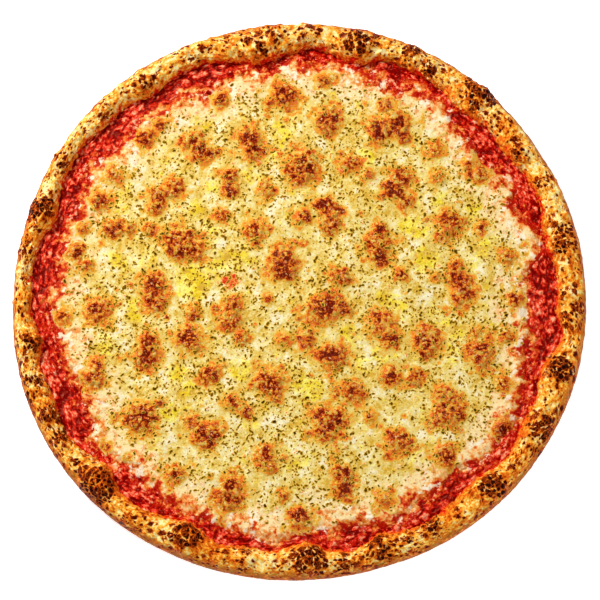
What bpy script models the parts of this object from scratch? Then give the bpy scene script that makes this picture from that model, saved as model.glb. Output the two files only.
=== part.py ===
"""Garlic pizza, whole and uncut: a puffed crust, tomato sauce, and cheese with herbs.

Blender builds it in metres with +Z up. The pizza rests on z = 0, with the middle of
its underside at the origin, and the tables below are millimetres and degrees.
"""

import math

import bmesh
import bpy
import numpy as np
from mathutils import Matrix, Vector
from mathutils.bvhtree import BVHTree
from mathutils.geometry import delaunay_2d_cdt

MM = 0.001

# Heights of the layers
BASE_TOP = 4.0
LAYER_GAP = 0.3
SAUCE_THICKNESS = 1.5
SAUCE_BOTTOM = BASE_TOP + LAYER_GAP
SAUCE_TOP = SAUCE_BOTTOM + SAUCE_THICKNESS
CHEESE_BOTTOM = SAUCE_TOP + LAYER_GAP
CHEESE_TOP = 8.7
CHEESE_RIPPLE = 0.35

# Rim of the crust: its roll is taller where it is wider
RIM_LOW_HEIGHT = 10.6
RIM_HEIGHT_PER_WIDTH = 0.24
RIM_WIDEST_SHARE = 0.42
RIM_CREST_SHARE = 0.47
RIM_INNER_Z = 7.0
RIM_FOOT_RUN = 2.0
RIM_ROUGHNESS = 0.35

# Every ring of the three layers has the same directions
DIRECTIONS = 180
OUTER_ROLL_ANGLES = (-90, -50, -20, 6, 31, 55, 79)
INNER_ROLL_ANGLES = (103, 129, 155, 180)

# Outline of the whole pizza: (direction, radius)
OUTER_EDGE = (
    (0, 148.5), (15, 148.2), (30, 147.7), (45, 148.6), (60, 149.5), (75, 149.7),
    (90, 150.0), (105, 150.2), (120, 151.2), (135, 151.2), (150, 150.0), (165, 148.9),
    (180, 148.7), (195, 150.2), (210, 150.8), (225, 151.1), (240, 150.6), (255, 150.0),
    (270, 149.5), (285, 149.2), (300, 150.2), (315, 150.4), (330, 150.0), (345, 149.6),
)

# Where the rim meets the sauce; the rim's bubbles push it inwards
RIM_INNER_EDGE = (
    (0, 134), (5, 134), (10, 130.5), (15, 131.5), (20, 135), (28, 134), (35, 131),
    (41, 134), (50, 130.5), (57, 135), (70, 136.5), (76, 129.5), (80, 131.5),
    (86, 137), (93, 132.5), (98, 128.5), (103, 131), (108, 135.5), (117, 138),
    (125, 134.5), (131, 139), (136, 138), (143, 140.5), (153, 138.5), (158, 136),
    (162, 132), (167, 138), (175, 139.5), (185, 138.5), (190, 134), (195, 139),
    (204, 137), (211, 139.5), (217, 137.5), (223, 132), (229, 138), (236, 138),
    (242, 133), (247, 131.5), (253, 138), (258, 134), (264, 136.5), (272, 130),
    (278, 136.5), (283, 138), (287, 132), (294, 136.5), (300, 137), (311, 133),
    (321, 138), (327, 134), (336, 133.5), (341, 130.5), (346, 134.5), (350, 139.5),
    (355, 132.5),
)

# The ragged edge of the melted cheese
CHEESE_EDGE = (
    (0, 119), (4, 119), (9, 127.5), (15, 129), (21, 123), (27, 127.5), (35, 122),
    (39, 120), (42, 127), (45, 123), (49, 127), (57, 129), (61, 128), (65, 122),
    (69, 125), (74, 129), (80, 127), (86, 125), (90, 131), (94, 129), (98, 123),
    (102, 126), (107, 126), (113, 118), (117, 126), (120, 130), (123, 124),
    (128, 131), (133, 124.5), (138, 122), (143, 130), (148, 131), (152, 125),
    (156, 127), (159, 123), (164, 128), (172, 124), (180, 129), (187, 130),
    (192, 123), (196, 128), (203, 122), (206, 126), (209, 121), (213, 127),
    (218, 132), (223, 127.5), (228, 124), (232, 127), (245, 127.5), (257, 129),
    (266, 131), (273, 125), (278, 127), (283, 124), (286, 130), (293, 130),
    (299, 125), (303, 128), (307, 123), (313, 127), (319, 130), (326, 122),
    (331, 128), (336, 127), (341, 123), (349, 121), (355, 118),
)
LEAST_SAUCE_WIDTH = 2.5

# Bubbles baked into the rim: (direction, radius of its middle, size, height)
RIM_BUBBLES = (
    (10, 141, 10, 2.2), (24, 140, 6, 1.2), (32, 137, 7, 1.6), (39, 142, 6, 1.0),
    (48, 144, 11, 2.6), (60, 140, 7, 1.6), (65, 144, 8, 1.8), (77, 140, 12, 2.6),
    (88, 144, 8, 1.4), (95, 144, 8, 1.8), (100, 135, 9, 2.0), (113, 145, 9, 1.2),
    (125, 143, 10, 1.8), (136, 146, 7, 1.2), (149, 146, 7, 1.4), (161, 142, 9, 2.4),
    (171, 144, 6, 1.4), (182, 144, 6, 1.2), (190, 140, 9, 2.2), (199, 144, 9, 1.8),
    (207, 143, 7, 1.8), (213, 144, 6, 1.4), (224, 142, 12, 2.8), (235, 145, 7, 1.2),
    (246, 140, 11, 2.8), (254, 143, 6, 1.4), (259, 142, 7, 1.6), (272, 140, 11, 2.6),
    (280, 145, 6, 1.2), (287, 139, 8, 2.2), (293, 143, 6, 1.4), (299, 141, 8, 2.0),
    (305, 145, 7, 1.2), (313, 143, 11, 2.8), (322, 144, 7, 1.2), (330, 143, 8, 1.8),
    (342, 141, 11, 2.6), (352, 140, 7, 1.6), (358, 139, 6, 1.4),
)

# Browned blisters of the cheese, from the far edge to the near one: (x, y, size)
BLISTERS = (
    (14, 117, 5), (-8, 108, 8), (-41, 107, 5), (46, 102, 4), (95, 63, 5), (52, 93, 8),
    (43, 88, 8), (55, 85, 5), (16, 94, 8), (-73, 93, 5), (-81, 86, 6), (-55, 84, 7),
    (-51, 77, 7), (-26, 85, 7), (-24, 78, 6), (72, 77, 5), (27, 70, 6), (1, 68, 10),
    (89, 69, 4), (37, 64, 4), (73, 62, 5), (54, 62, 6), (50, 55, 7), (56, 50, 5),
    (-97, 66, 6), (-36, 64, 5), (-35, 57, 5), (-17, 57, 5), (-66, 58, 6), (-74, 54, 6),
    (-75, 47, 5), (-104, 51, 6), (-40, 43, 5), (3, 42, 5), (16, 46, 6), (17, 38, 7),
    (79, 38, 8), (75, 30, 5), (95, 34, 4), (43, 34, 5), (41, 26, 8), (42, 19, 6),
    (-96, 36, 6), (-88, 36, 4), (-78, 36, 4), (-113, 36, 4), (-23, 34, 7), (-62, 27, 9),
    (-54, 23, 6), (-116, 23, 5), (-111, 16, 5), (108, 18, 5), (-8, 16, 9), (-4, 10, 5),
    (22, 8, 6), (53, 9, 5), (71, 8, 4), (82, 14, 4), (83, 5, 7), (84, -3, 7),
    (-75, 5, 7), (-74, -4, 7), (112, -5, 5), (-104, -8, 7), (-122, -11, 5),
    (-54, -10, 5), (-34, -6, 6), (-35, -14, 7), (-16, -3, 4), (13, -8, 10), (24, -8, 5),
    (42, -17, 8), (48, -24, 6), (67, -26, 8), (65, -33, 5), (107, -24, 5), (91, -22, 4),
    (-78, -25, 6), (-78, -33, 7), (-57, -24, 8), (-29, -24, 5), (-7, -25, 5),
    (5, -24, 5), (17, -34, 8), (94, -34, 8), (-104, -38, 5), (-104, -44, 6),
    (-45, -43, 6), (-15, -48, 8), (-11, -56, 4), (48, -45, 6), (60, -45, 5),
    (105, -49, 5), (27, -53, 7), (75, -55, 6), (77, -64, 9), (-81, -65, 9), (-34, -58, 5),
    (-27, -62, 4), (11, -65, 6), (20, -67, 6), (14, -72, 7), (37, -66, 4), (-54, -69, 5),
    (-48, -75, 8), (104, -73, 5), (51, -79, 7), (-17, -85, 6), (-15, -91, 6),
    (74, -86, 6), (-62, -95, 6), (23, -95, 6), (23, -103, 6), (-34, -102, 6),
    (-35, -108, 7), (-7, -107, 4), (43, -109, 5), (1, -118, 6),
)
BLISTER_HEIGHT_SHARE = 0.2
BLISTER_ROUGHNESS = 0.3
LEAST_DRAWN_BLISTER = 4.5

# Herb flakes on the cheese, largest first
FLAKE_COUNT = 110
FLAKE_LENGTHS = (3.4, 2.3)
FLAKE_SPACING = 6.5
FLAKE_FIELD_RADIUS = 116.0
FLAKE_SIDES = 5

CRUST_COLOUR = (0.72, 0.36, 0.11, 1.0)
SAUCE_COLOUR = (0.45, 0.02, 0.01, 1.0)
CHEESE_COLOUR = (0.86, 0.68, 0.32, 1.0)


def clear_scene():
    """Remove the objects that the scene starts with."""
    for obj in list(bpy.data.objects):
        bpy.data.objects.remove(obj, do_unlink=True)


def material(name, colour, roughness):
    """Give a material with a plain colour and gloss."""
    mat = bpy.data.materials.new(name)
    mat.use_nodes = True
    shader = mat.node_tree.nodes["Principled BSDF"]
    shader.inputs["Base Color"].default_value = colour
    shader.inputs["Roughness"].default_value = roughness
    shader.inputs["Metallic"].default_value = 0.0
    mat.diffuse_color = colour
    return mat


def directions():
    """Give the directions of every ring, in degrees."""
    return np.arange(DIRECTIONS) * 360.0 / DIRECTIONS


def radius_at(edge, degrees):
    """Read an edge's radius at the given directions, rounding its corners a little."""
    angles = [point[0] for point in edge]
    radii = [point[1] for point in edge]
    reach = (-1.5, 0.0, 1.5)
    reads = [np.interp(degrees + step, angles, radii, period=360.0) for step in reach]
    return np.mean(reads, axis=0)


def rim_inner_radius(degrees):
    """Give the radius where the rim meets the sauce."""
    return radius_at(RIM_INNER_EDGE, degrees)


def cheese_radius(degrees):
    """Give the cheese's edge, which leaves some sauce showing all round."""
    limit = rim_inner_radius(degrees) - LEAST_SAUCE_WIDTH
    return np.minimum(radius_at(CHEESE_EDGE, degrees), limit)


def ripple(x, y, wavelength, seed):
    """Give a smooth uneven field, about 1 high, as a sum of waves in all directions."""
    rng = np.random.default_rng(seed)
    total = np.zeros(np.broadcast(x, y).shape)
    waves = 9
    for heading in rng.uniform(0.0, math.tau, waves):
        pitch = math.tau / (wavelength * rng.uniform(0.7, 1.5))
        along = x * math.cos(heading) + y * math.sin(heading)
        total += np.sin(along * pitch + rng.uniform(0.0, math.tau))
    return total / math.sqrt(waves)


def dome(distance, size):
    """Give a round bump, 1 high at its middle and 0 from size outwards."""
    inside = np.clip(1.0 - (distance / size) ** 2, 0.0, None)
    return inside * inside * (3.0 - 2.0 * inside)


def ring_points(degrees, radius, height):
    """Place one ring of points, given in millimetres."""
    angle = np.radians(degrees)
    spread = np.broadcast_to(height, radius.shape)
    return np.stack([radius * np.cos(angle), radius * np.sin(angle), spread], axis=-1)


def closed_body(name, rings, low_middle, high_middle, mat):
    """Join rings of points into one closed body, with a fan over each end.

    The first ring bounds the underside and the last one the top.
    """
    bm = bmesh.new()
    loops = [[bm.verts.new(Vector(p) * MM) for p in ring] for ring in rings]
    count = DIRECTIONS
    for low, high in zip(loops, loops[1:]):
        for i in range(count):
            j = (i + 1) % count
            bm.faces.new((low[i], low[j], high[j], high[i]))
    bottom = bm.verts.new((0.0, 0.0, low_middle * MM))
    top = bm.verts.new((0.0, 0.0, high_middle * MM))
    for i in range(count):
        j = (i + 1) % count
        bm.faces.new((bottom, loops[0][j], loops[0][i]))
        bm.faces.new((top, loops[-1][i], loops[-1][j]))
    bmesh.ops.triangulate(bm, faces=bm.faces[:])
    return mesh_object(name, bm, mat)


def mesh_object(name, bm, mat):
    """Turn a bmesh into a named object with its material, shaded smooth."""
    mesh = bpy.data.meshes.new(name)
    bm.to_mesh(mesh)
    bm.free()
    mesh.materials.append(mat)
    mesh.shade_smooth()
    mesh.set_sharp_from_angle(angle=math.radians(50.0))
    obj = bpy.data.objects.new(name, mesh)
    bpy.context.collection.objects.link(obj)
    return obj


def roll_ring(degrees, phi):
    """Give one ring of the rim's roll: phi is -90 under it, 90 on its crest, 180 inside."""
    outer = radius_at(OUTER_EDGE, degrees)
    inner = rim_inner_radius(degrees)
    width = outer - inner
    crest = RIM_LOW_HEIGHT + RIM_HEIGHT_PER_WIDTH * width
    widest = RIM_WIDEST_SHARE * crest
    outer_run = RIM_CREST_SHARE * width
    inner_run = width - outer_run
    across = math.cos(math.radians(phi))
    up = math.sin(math.radians(phi))
    run = outer_run if phi < 90.0 else inner_run
    radius = outer - outer_run + run * across
    if phi < 0.0:
        height = widest * (1.0 + up)
    elif phi < 90.0:
        height = widest + (crest - widest) * up
    else:
        height = RIM_INNER_Z + (crest - RIM_INNER_Z) * up
    return ring_points(degrees, radius, height)


def puff_ring(points, degrees, phi):
    """Push one ring of the roll outwards where a bubble or the dough's unevenness is."""
    lift = RIM_ROUGHNESS * ripple(points[:, 0], points[:, 1], 9.0, seed=4)
    lift += 0.7 * RIM_ROUGHNESS * ripple(points[:, 0], points[:, 1], 5.0, seed=5)
    for heading, radius, size, height in RIM_BUBBLES:
        angle = math.radians(heading)
        aside = points[:, 0] - radius * math.cos(angle)
        along = points[:, 1] - radius * math.sin(angle)
        lift += height * dome(np.hypot(aside, along), size)
    hold = math.sin(math.radians(max(phi, 0.0))) ** 0.5
    lift = lift * hold
    tilt = math.cos(math.radians(phi)) * 0.5
    angle = np.radians(degrees)
    outward = np.stack([np.cos(angle) * tilt, np.sin(angle) * tilt, np.ones_like(angle)], axis=-1)
    return points + outward * lift[:, None]


def build_crust(mat):
    """Build the dough: a thin round base and the puffed, bubbled rim round it."""
    degrees = directions()
    rings = []
    for phi in OUTER_ROLL_ANGLES + INNER_ROLL_ANGLES:
        rings.append(puff_ring(roll_ring(degrees, phi), degrees, phi))
    foot = rim_inner_radius(degrees) - RIM_FOOT_RUN
    rings.append(ring_points(degrees, foot, BASE_TOP))
    return closed_body("crust", rings, 0.0, BASE_TOP, mat)


def build_sauce(mat):
    """Build the sauce: a thin layer under the cheese that swells between it and the rim."""
    degrees = directions()
    rim = rim_inner_radius(degrees)
    inner = cheese_radius(degrees) + 0.8
    outer = rim - 0.5
    span = outer - inner
    rings = [
        ring_points(degrees, rim - RIM_FOOT_RUN - 0.5, SAUCE_BOTTOM),
        ring_points(degrees, outer, RIM_INNER_Z - 0.1),
    ]
    for share, height in ((0.62, 7.7), (0.28, 7.3)):
        flat = ring_points(degrees, inner + share * span, height)
        flat[:, 2] += 0.45 * ripple(flat[:, 0], flat[:, 1], 6.0, seed=11 + int(share * 10))
        rings.append(flat)
    rings.append(ring_points(degrees, inner, SAUCE_TOP))
    return closed_body("tomato_sauce", rings, SAUCE_BOTTOM, SAUCE_TOP, mat)


def cheese_height(x, y):
    """Give the cheese's top at places in its field: soft ripples and browned blisters."""
    height = CHEESE_TOP + CHEESE_RIPPLE * ripple(x, y, 34.0, seed=21)
    grain = BLISTER_ROUGHNESS * ripple(x, y, 4.5, seed=22)
    for across, up, size in BLISTERS:
        bump = dome(np.hypot(x - across, y - up), size * 1.15)
        height = height + bump * (BLISTER_HEIGHT_SHARE * size + grain)
    return height


def cheese_field_points(degrees):
    """Scatter the cheese's inner points: close together on blisters, wide apart elsewhere."""
    points = []
    for across, up, size in BLISTERS:
        if size < LEAST_DRAWN_BLISTER:
            continue
        points.append((across, up))
        for share, count, turn in ((0.5, 5, 0.4), (1.1, 7, 0.0)):
            for k in range(count):
                angle = turn + math.tau * k / count
                reach = share * size
                points.append((across + reach * math.cos(angle), up + reach * math.sin(angle)))
    step = 11.0
    lines = range(-12, 13)
    points += [(step * (i + 0.5 * (j % 2)), 0.87 * step * j) for j in lines for i in lines]
    kept = []
    for x, y in points:
        limit = cheese_radius(np.array([math.degrees(math.atan2(y, x))]))[0] - 6.5
        clear = all(math.hypot(x - u, y - v) > 3.2 for u, v in kept)
        if math.hypot(x, y) < limit and clear:
            kept.append((x, y))
    return kept


def build_cheese(mat):
    """Build the melted cheese: a disc with a ragged edge and mounds where it browned."""
    degrees = directions()
    edge = cheese_radius(degrees)
    shoulder = ring_points(degrees, edge - 1.8, CHEESE_TOP - 0.6)
    inner = edge - 5.0
    angle = np.radians(degrees)
    inner_x, inner_y = inner * np.cos(angle), inner * np.sin(angle)
    field = cheese_field_points(degrees)
    flat = [Vector((x, y)) for x, y in zip(inner_x, inner_y)] + [Vector(p) for p in field]
    loop = [(i, (i + 1) % DIRECTIONS) for i in range(DIRECTIONS)]
    places, _, faces, *_ = delaunay_2d_cdt(flat, loop, [], 1, 1e-6)
    x = np.array([p.x for p in places])
    y = np.array([p.y for p in places])
    z = cheese_height(x, y)
    bm = bmesh.new()
    top = [bm.verts.new(Vector((a, b, c)) * MM) for a, b, c in zip(x, y, z)]
    for face in faces:
        bm.faces.new([top[i] for i in face])
    rings = [
        ring_points(degrees, edge, CHEESE_BOTTOM),
        ring_points(degrees, edge, CHEESE_BOTTOM + 0.8),
        shoulder,
    ]
    loops = [[bm.verts.new(Vector(p) * MM) for p in ring] for ring in rings]
    loops.append(top[:DIRECTIONS])
    for low, high in zip(loops, loops[1:]):
        for i in range(DIRECTIONS):
            j = (i + 1) % DIRECTIONS
            bm.faces.new((low[i], low[j], high[j], high[i]))
    middle = bm.verts.new((0.0, 0.0, CHEESE_BOTTOM * MM))
    for i in range(DIRECTIONS):
        j = (i + 1) % DIRECTIONS
        bm.faces.new((middle, loops[0][j], loops[0][i]))
    bmesh.ops.triangulate(bm, faces=bm.faces[:])
    return mesh_object("cheese", bm, mat)


def flake_places():
    """Choose where the herb flakes lie: thick in the middle, thin outwards, off blisters."""
    rng = np.random.default_rng(31)
    places = []
    while len(places) < FLAKE_COUNT:
        radius = FLAKE_FIELD_RADIUS * math.sqrt(rng.uniform()) ** 1.15
        angle = rng.uniform(0.0, math.tau)
        x, y = radius * math.cos(angle), radius * math.sin(angle)
        browned = any(math.hypot(x - u, y - v) < 1.3 * size + 1.5 for u, v, size in BLISTERS)
        crowded = any(math.hypot(x - u, y - v) < FLAKE_SPACING for u, v in places)
        if not browned and not crowded:
            places.append((x, y))
    return places


def flake_object(name, length, place, normal, heading, mat):
    """Make one dried herb flake: a low five-sided chip, half sunk in the cheese."""
    bm = bmesh.new()
    low, high = [], []
    for k in range(FLAKE_SIDES):
        angle = math.tau * k / FLAKE_SIDES
        x, y = 0.5 * length * math.cos(angle), 0.24 * length * math.sin(angle)
        low.append(bm.verts.new(Vector((x, y, -0.6)) * MM))
        high.append(bm.verts.new(Vector((0.8 * x, 0.75 * y, 0.45)) * MM))
    for k in range(FLAKE_SIDES):
        j = (k + 1) % FLAKE_SIDES
        bm.faces.new((low[k], low[j], high[j], high[k]))
    bm.faces.new(high)
    bm.faces.new(low[::-1])
    turn = normal.to_track_quat("Z", "Y").to_matrix().to_4x4()
    bm.transform(Matrix.Translation(place) @ turn @ Matrix.Rotation(heading, 4, "Z"))
    return mesh_object(name, bm, mat)


def fuse_flakes(cheese, mat):
    """Lay the herb flakes on the cheese and join them to it with one Boolean union."""
    rng = np.random.default_rng(32)
    surface = BVHTree.FromPolygons(
        [v.co for v in cheese.data.vertices], [p.vertices for p in cheese.data.polygons]
    )
    group = bpy.data.collections.new("herb_flakes")
    bpy.context.scene.collection.children.link(group)
    lengths = np.linspace(FLAKE_LENGTHS[0], FLAKE_LENGTHS[1], FLAKE_COUNT)
    for k, (x, y) in enumerate(flake_places()):
        place, normal, _, _ = surface.ray_cast(Vector((x, y, 50.0)) * MM, Vector((0, 0, -1)))
        heading = rng.uniform(0.0, math.tau)
        flake = flake_object(f"flake_{k}", lengths[k], place, normal, heading, mat)
        bpy.context.collection.objects.unlink(flake)
        group.objects.link(flake)
    union = cheese.modifiers.new("herbs", "BOOLEAN")
    union.operation = "UNION"
    union.operand_type = "COLLECTION"
    union.collection = group
    union.solver = "EXACT"
    graph = bpy.context.evaluated_depsgraph_get()
    fused = bpy.data.meshes.new_from_object(cheese.evaluated_get(graph))
    cheese.modifiers.remove(union)
    for flake in list(group.objects):
        bpy.data.objects.remove(flake, do_unlink=True)
    bpy.data.collections.remove(group)
    cheese.data = fused


def drop_scraps(obj):
    """Keep the largest connected body of a mesh and drop loose scraps."""
    bm = bmesh.new()
    bm.from_mesh(obj.data)
    unseen = set(bm.verts)
    bodies = []
    while unseen:
        stack = [unseen.pop()]
        body = set(stack)
        while stack:
            for edge in stack.pop().link_edges:
                for vert in edge.verts:
                    if vert in unseen:
                        unseen.discard(vert)
                        body.add(vert)
                        stack.append(vert)
        bodies.append(body)
    bodies.sort(key=len)
    for body in bodies[:-1]:
        bmesh.ops.delete(bm, geom=list(body), context="VERTS")
    bmesh.ops.triangulate(bm, faces=bm.faces[:])
    bm.to_mesh(obj.data)
    bm.free()


def main():
    """Build the pizza."""
    clear_scene()
    build_crust(material("baked_crust", CRUST_COLOUR, 0.75))
    build_sauce(material("tomato_sauce", SAUCE_COLOUR, 0.3))
    cheese_material = material("melted_cheese", CHEESE_COLOUR, 0.4)
    cheese = build_cheese(cheese_material)
    fuse_flakes(cheese, cheese_material)
    drop_scraps(cheese)


main()
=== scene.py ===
"""Looks of the garlic pizza: dense meshes with baked detail in place of the plain solids.

The tables are millimetres and degrees, read off the photograph: x to its right,
y to its top, and directions anticlockwise from the right. Meshes are made in metres.
"""

import itertools
import math

import bpy
import numpy as np
from mathutils import Matrix, Vector
from mathutils.geometry import delaunay_2d_cdt


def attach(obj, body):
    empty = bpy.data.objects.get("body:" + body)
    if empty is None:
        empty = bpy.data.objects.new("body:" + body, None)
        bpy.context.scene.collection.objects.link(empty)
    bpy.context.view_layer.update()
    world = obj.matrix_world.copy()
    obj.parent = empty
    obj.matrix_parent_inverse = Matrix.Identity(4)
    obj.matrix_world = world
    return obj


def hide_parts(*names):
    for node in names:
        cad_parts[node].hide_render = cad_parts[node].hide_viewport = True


MM = 0.001

# The Mix node's sockets for colours
FIRST_COLOUR, SECOND_COLOUR, MIXED_COLOUR = 6, 7, 2

# Heights of the layers, as in the solids
BASE_TOP = 4.0
SAUCE_BOTTOM = 4.3
SAUCE_TOP = 5.8
CHEESE_BOTTOM = 6.1
CHEESE_EDGE_TOP = 7.2
CHEESE_TOP = 8.7
CHEESE_RIPPLE = 0.35
BLISTER_HEIGHT_SHARE = 0.2
BLISTER_ROUGHNESS = 0.3

# Rim of the crust, as in the solids
RIM_LOW_HEIGHT = 10.6
RIM_HEIGHT_PER_WIDTH = 0.24
RIM_WIDEST_SHARE = 0.42
RIM_CREST_SHARE = 0.47
RIM_INNER_Z = 7.0
RIM_FOOT_RUN = 2.0
RIM_ROUGHNESS = 0.35
HIGHEST_RIM = 17.7
BROWNEST_DIRECTION = 290.0

# Outline of the whole pizza: (direction, radius)
OUTER_EDGE = (
    (0, 148.5), (15, 148.2), (30, 147.7), (45, 148.6), (60, 149.5), (75, 149.7), (90, 150.0),
    (105, 150.2), (120, 151.2), (135, 151.2), (150, 150.0), (165, 148.9), (180, 148.7), (195, 150.2),
    (210, 150.8), (225, 151.1), (240, 150.6), (255, 150.0), (270, 149.5), (285, 149.2), (300, 150.2),
    (315, 150.4), (330, 150.0), (345, 149.6),
)

# Where the rim meets the sauce; the rim's bubbles push it inwards
INNER_EDGE = (
    (0, 134), (5, 134), (10, 130.5), (15, 131.5), (20, 135), (28, 134), (35, 131), (41, 134),
    (50, 130.5), (57, 135), (70, 136.5), (76, 129.5), (80, 131.5), (86, 137), (93, 132.5), (98, 128.5),
    (103, 131), (108, 135.5), (117, 138), (125, 134.5), (131, 139), (136, 138), (143, 140.5),
    (153, 138.5), (158, 136), (162, 132), (167, 138), (175, 139.5), (185, 138.5), (190, 134),
    (195, 139), (204, 137), (211, 139.5), (217, 137.5), (223, 132), (229, 138), (236, 138), (242, 133),
    (247, 131.5), (253, 138), (258, 134), (264, 136.5), (272, 130), (278, 136.5), (283, 138),
    (287, 132), (294, 136.5), (300, 137), (311, 133), (321, 138), (327, 134), (336, 133.5),
    (341, 130.5), (346, 134.5), (350, 139.5), (355, 132.5),
)

# The ragged edge of the melted cheese
CHEESE_EDGE = (
    (0, 119), (4, 119), (9, 127.5), (15, 129), (21, 123), (27, 127.5), (35, 122), (39, 120), (42, 127),
    (45, 123), (49, 127), (57, 129), (61, 128), (65, 122), (69, 125), (74, 129), (80, 127), (86, 125),
    (90, 131), (94, 129), (98, 123), (102, 126), (107, 126), (113, 118), (117, 126), (120, 130),
    (123, 124), (128, 131), (133, 124.5), (138, 122), (143, 130), (148, 131), (152, 125), (156, 127),
    (159, 123), (164, 128), (172, 124), (180, 129), (187, 130), (192, 123), (196, 128), (203, 122),
    (206, 126), (209, 121), (213, 127), (218, 132), (223, 127.5), (228, 124), (232, 127), (245, 127.5),
    (257, 129), (266, 131), (273, 125), (278, 127), (283, 124), (286, 130), (293, 130), (299, 125),
    (303, 128), (307, 123), (313, 127), (319, 130), (325, 131), (331, 128), (336, 127), (341, 123),
    (349, 121), (355, 118),
)
CHEESE_RADIUS = 126.0
LEAST_SAUCE_WIDTH = 2.5
SAUCE_UNDER_CHEESE = 3.0
SAUCE_UNDER_RIM = 1.6

# Degrees that the edges' corners are rounded by
EDGE_ROUNDING = 1.5

# Bubbles baked into the rim: (direction, radius of its middle, size, height)
RIM_BUBBLES = (
    (10, 141, 10, 2.2), (24, 140, 6, 1.2), (32, 137, 7, 1.6), (39, 142, 6, 1.0), (48, 144, 11, 2.6),
    (60, 140, 7, 1.6), (65, 144, 8, 1.8), (77, 140, 12, 2.6), (88, 144, 8, 1.4), (95, 144, 8, 1.8),
    (100, 135, 9, 2.0), (113, 145, 9, 1.2), (125, 143, 10, 1.8), (136, 146, 7, 1.2),
    (149, 146, 7, 1.4), (161, 142, 9, 2.4), (171, 144, 6, 1.4), (182, 144, 6, 1.2), (190, 140, 9, 2.2),
    (199, 144, 9, 1.8), (207, 143, 7, 1.8), (213, 144, 6, 1.4), (224, 142, 12, 2.8),
    (235, 145, 7, 1.2), (246, 140, 11, 2.8), (254, 143, 6, 1.4), (259, 142, 7, 1.6),
    (272, 140, 11, 2.6), (280, 145, 6, 1.2), (287, 139, 8, 2.2), (293, 143, 6, 1.4),
    (299, 141, 8, 2.0), (305, 145, 7, 1.2), (313, 143, 11, 2.8), (322, 144, 7, 1.2),
    (330, 143, 8, 1.8), (342, 141, 11, 2.6), (352, 140, 7, 1.6), (358, 139, 6, 1.4),
)
HIGHEST_BUBBLE = 2.8

# Burnt spots of the rim: (direction, radius, size, darkness)
RIM_CHARS = (
    (8, 135, 2, 0.7), (9, 138.5, 3, 0.8), (10.5, 138, 3, 0.9), (12.5, 139.5, 3, 0.7),
    (9, 142.5, 3, 0.7), (11.5, 142, 3, 0.7), (14.5, 139, 2.5, 0.7), (13.5, 144, 2.5, 0.5),
    (24, 139.5, 3, 0.6), (31, 142, 3, 0.5), (32.5, 135.5, 3.5, 0.9), (34.5, 138, 2, 0.6),
    (39, 141, 3.5, 0.5), (46.5, 145, 5, 1.4), (48.5, 144, 6, 1.5), (50.5, 144, 4, 1.3),
    (47, 136, 2.5, 0.7), (51, 136, 2, 0.5), (60.5, 138.5, 4, 0.9), (65, 145, 4.5, 0.8),
    (76.5, 141, 5, 0.9), (78, 142, 4, 0.9), (76.5, 135.5, 3.5, 0.9), (79, 138, 3, 0.6),
    (82, 137, 2.5, 0.5), (74, 145, 3, 0.5), (88, 144, 3, 0.4), (94.5, 145, 4.5, 0.6),
    (96, 142, 3, 0.5), (98.5, 134, 3.5, 1.0), (101, 140, 3, 0.8), (102.5, 133, 2, 0.8),
    (112, 136.5, 3, 0.6), (114, 141, 3, 0.4), (126, 151, 3, 0.9), (125.5, 138, 3, 0.8),
    (123, 141, 2.5, 0.7), (125.5, 142, 3, 0.6), (136, 151, 3, 0.7), (137, 141.5, 2.5, 0.6),
    (142.5, 145, 4, 0.5), (149, 147, 4, 0.4), (151, 142, 3, 0.8), (154, 147, 2.5, 0.5),
    (161.5, 145, 6, 1.0), (159.5, 139, 3, 0.9), (162, 140, 3, 0.6), (168, 146, 3, 0.4),
    (171.5, 144.5, 4, 0.5), (176.5, 142.5, 3, 0.5), (181, 142, 3, 0.5), (190, 141, 3, 0.9),
    (191, 137, 5, 1.0), (196, 148, 4, 0.5), (199.5, 141.5, 3, 0.8), (198.5, 146, 3, 0.7),
    (201.5, 150.5, 4, 0.9), (206.5, 141.5, 4.5, 1.0), (208.5, 139, 2.5, 0.7), (212, 142, 4, 0.8),
    (218.5, 143.5, 2, 0.9), (221, 136.5, 2, 0.9), (221, 145, 3, 0.8), (224.5, 147, 5, 0.9),
    (227, 146, 5, 0.9), (224, 139, 4, 0.9), (226, 140, 5, 1.0), (228, 149, 4, 0.7), (245, 140, 5, 0.9),
    (247.5, 139.5, 5, 1.0), (246, 136, 3, 0.8), (249, 141, 3, 0.7), (248, 134, 2.5, 0.6),
    (253, 142, 2.5, 0.5), (258.5, 137.5, 3.5, 0.6), (259, 146, 3, 0.6), (271, 141, 5, 0.9),
    (273.5, 139, 5, 1.0), (274.5, 144.5, 3.5, 0.9), (272, 136, 2.5, 0.8), (279, 145, 3.5, 0.9),
    (287, 139.5, 5, 1.0), (287.5, 147, 3, 0.9), (286, 135, 2.5, 0.7), (293, 141.5, 2.5, 0.6),
    (298.5, 139.5, 4.5, 0.8), (304, 145, 2.5, 0.5), (312, 142, 4, 0.9), (314, 144, 5, 1.1),
    (314, 139, 3, 0.7), (319, 144, 2.5, 0.5), (328.5, 145.5, 4, 0.8), (331, 146, 4, 0.8),
    (325, 147, 3, 0.5), (328, 138.5, 2, 0.6), (342.3, 144, 3.5, 1.1), (341, 140, 4.5, 1.0),
    (343.5, 139, 3, 0.8), (339.5, 139, 2, 0.7), (344, 134, 2, 0.6), (352, 139, 3, 0.6),
    (353.5, 137, 3, 0.7), (358.5, 135, 3.5, 0.7), (356, 136, 2, 0.5),
)

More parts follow.
